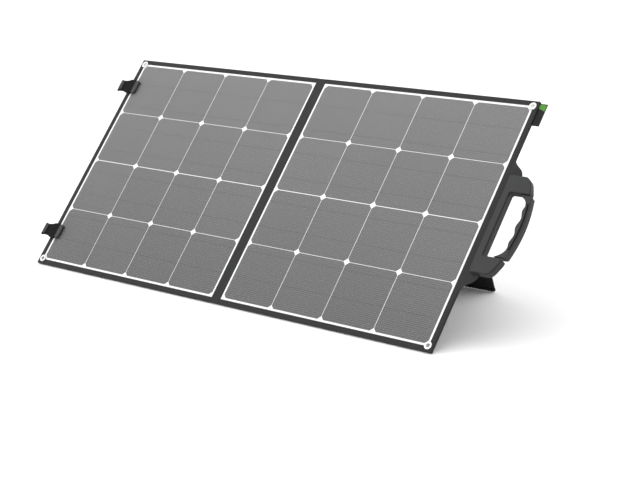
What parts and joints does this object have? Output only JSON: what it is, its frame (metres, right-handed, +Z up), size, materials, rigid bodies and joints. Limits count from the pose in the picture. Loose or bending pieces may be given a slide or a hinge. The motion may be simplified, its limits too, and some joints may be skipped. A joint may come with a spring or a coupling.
{
  "type": "foldable solar panel",
  "caption": "Foldable solar panel of two fabric-bound halves on kickstands, with a carry handle, strap latches, corner eyelets, a junction box and a cable pocket.",
  "frame": {"origin": "centre of the open panel's footprint, on the ground", "axes": "+X from the latches to the handle, along the top edge; +Y from the panel's front to its back; +Z up"},
  "size_m": [1.187, 0.4458, 0.4211],
  "materials": {
    "border_fabric": "dark grey coated polyester, fine plain weave",
    "back_fabric": "near-black coated polyester, plain weave",
    "kickstand_fabric": "black coated polyester, plain weave",
    "pocket_fabric": "black polyester with a zip",
    "clear_film": "clear, finely textured film",
    "solar_cells": "dark grey satin silicon",
    "white_back_sheet": "white satin sheet",
    "stiffener_board": "dark fibre board",
    "flat_cable": "black flat ribbon cable",
    "eyelet_metal": "nickel plate",
    "steel": "zinc plated steel",
    "handle_plastic": "fine-grained moulded plastic",
    "box_plastic": "black moulded plastic",
    "soft_rubber": "soft matt rubber",
    "latch_plate": "moulded plastic, matt",
    "foot_rubber": "matt rubber",
    "webbing": "black ribbed webbing",
    "hook_and_loop": "hook and loop pile",
    "edge_tag": "green and black woven tag, no lettering"
  },
  "bodies": {
    "right_panel": {"right_front_cover": "border_fabric", "right_clear_film": "clear_film", "right_solar_cells": "solar_cells", "right_back_sheet": "white_back_sheet", "right_stiffener_board": "stiffener_board", "right_back_cover": "back_fabric", "right_fold_strip": "border_fabric", "right_flat_cable": "flat_cable", "right_bottom_eyelet": "eyelet_metal", "right_top_eyelet": "eyelet_metal", "right_kickstand_hinge_tape": "webbing", "right_stop_strap": "webbing", "handle_front_shell": "handle_plastic", "handle_back_shell": "handle_plastic", "handle_screw_1": "steel", "handle_screw_2": "steel", "handle_screw_3": "steel", "handle_screw_4": "steel", "grip_upper_pivot_pin": "steel", "grip_lower_pivot_pin": "steel", "edge_tag": "edge_tag", "latch_upper_keeper": "hook_and_loop", "latch_lower_keeper": "hook_and_loop"},
    "right_kickstand": {"right_kickstand_sleeve": "kickstand_fabric", "right_kickstand_board": "stiffener_board", "right_kickstand_foot": "foot_rubber"},
    "left_panel": {"left_front_cover": "border_fabric", "left_clear_film": "clear_film", "left_solar_cells": "solar_cells", "left_back_sheet": "white_back_sheet", "left_stiffener_board": "stiffener_board", "left_back_cover": "back_fabric", "left_fold_strip": "border_fabric", "left_flat_cable": "flat_cable", "left_bottom_eyelet": "eyelet_metal", "left_top_eyelet": "eyelet_metal", "left_kickstand_hinge_tape": "webbing", "left_stop_strap": "webbing", "latch_upper_base": "soft_rubber", "latch_upper_plate": "latch_plate", "latch_lower_base": "soft_rubber", "latch_lower_plate": "latch_plate", "junction_box_base": "box_plastic", "junction_box_lid": "box_plastic", "junction_box_seal": "soft_rubber", "terminal_block": "box_plastic", "cable_gland": "box_plastic", "cable_pocket": "pocket_fabric"},
    "left_kickstand": {"left_kickstand_sleeve": "kickstand_fabric", "left_kickstand_board": "stiffener_board", "left_kickstand_foot": "foot_rubber"},
    "grip": {"grip_core": "handle_plastic", "grip_pad": "soft_rubber"},
    "latch_upper_root": {"latch_upper_root": "soft_rubber"},
    "latch_upper_tip": {"latch_upper_tip": "soft_rubber", "latch_upper_hook_pad": "hook_and_loop"},
    "latch_lower_root": {"latch_lower_root": "soft_rubber"},
    "latch_lower_tip": {"latch_lower_tip": "soft_rubber", "latch_lower_hook_pad": "hook_and_loop"},
    "zip_slider": {"zip_slider": "steel"}
  },
  "joints": [
    {"name": "panel_fold", "type": "hinge", "parent": "right_panel", "child": "left_panel", "pos_m": [-0.0265, -0.05566, 0.21447], "axis": [0, 0.6311, 0.7757], "range_deg": [0, 179.9]},
    {"name": "right_kickstand_hinge", "type": "hinge", "parent": "right_panel", "child": "right_kickstand", "pos_m": [0.2435, 0.07405, 0.35775], "axis": [-1, 0, 0], "range_deg": [0, 61], "deforming": ["right_stop_strap"]},
    {"name": "left_kickstand_hinge", "type": "hinge", "parent": "left_panel", "child": "left_kickstand", "pos_m": [-0.2965, 0.07405, 0.35775], "axis": [-1, 0, 0], "range_deg": [0, 61], "deforming": ["left_stop_strap"]},
    {"name": "grip_pivot", "type": "hinge", "parent": "right_panel", "child": "grip", "pos_m": [0.5745, -0.05318, 0.21245], "axis": [0, 0.6311, 0.7757], "range_deg": [-90, 90]},
    {"name": "latch_upper_root_bend", "type": "hinge", "parent": "left_panel", "child": "latch_upper_root", "pos_m": [-0.567, 0.06522, 0.36622], "axis": [0, 0.6311, 0.7757], "range_deg": [0, 90]},
    {"name": "latch_upper_tip_bend", "type": "hinge", "parent": "latch_upper_root", "child": "latch_upper_tip", "pos_m": [-0.5782, 0.06522, 0.36622], "axis": [0, 0.6311, 0.7757], "range_deg": [0, 90]},
    {"name": "latch_lower_root_bend", "type": "hinge", "parent": "left_panel", "child": "latch_lower_root", "pos_m": [-0.567, -0.17648, 0.06913], "axis": [0, 0.6311, 0.7757], "range_deg": [0, 90]},
    {"name": "latch_lower_tip_bend", "type": "hinge", "parent": "latch_lower_root", "child": "latch_lower_tip", "pos_m": [-0.5782, -0.17648, 0.06913], "axis": [0, 0.6311, 0.7757], "range_deg": [0, 90]},
    {"name": "zip_slide", "type": "slide", "parent": "left_panel", "child": "zip_slider", "axis": [1, 0, 0], "range_m": [0, 0.098]}
  ]
}
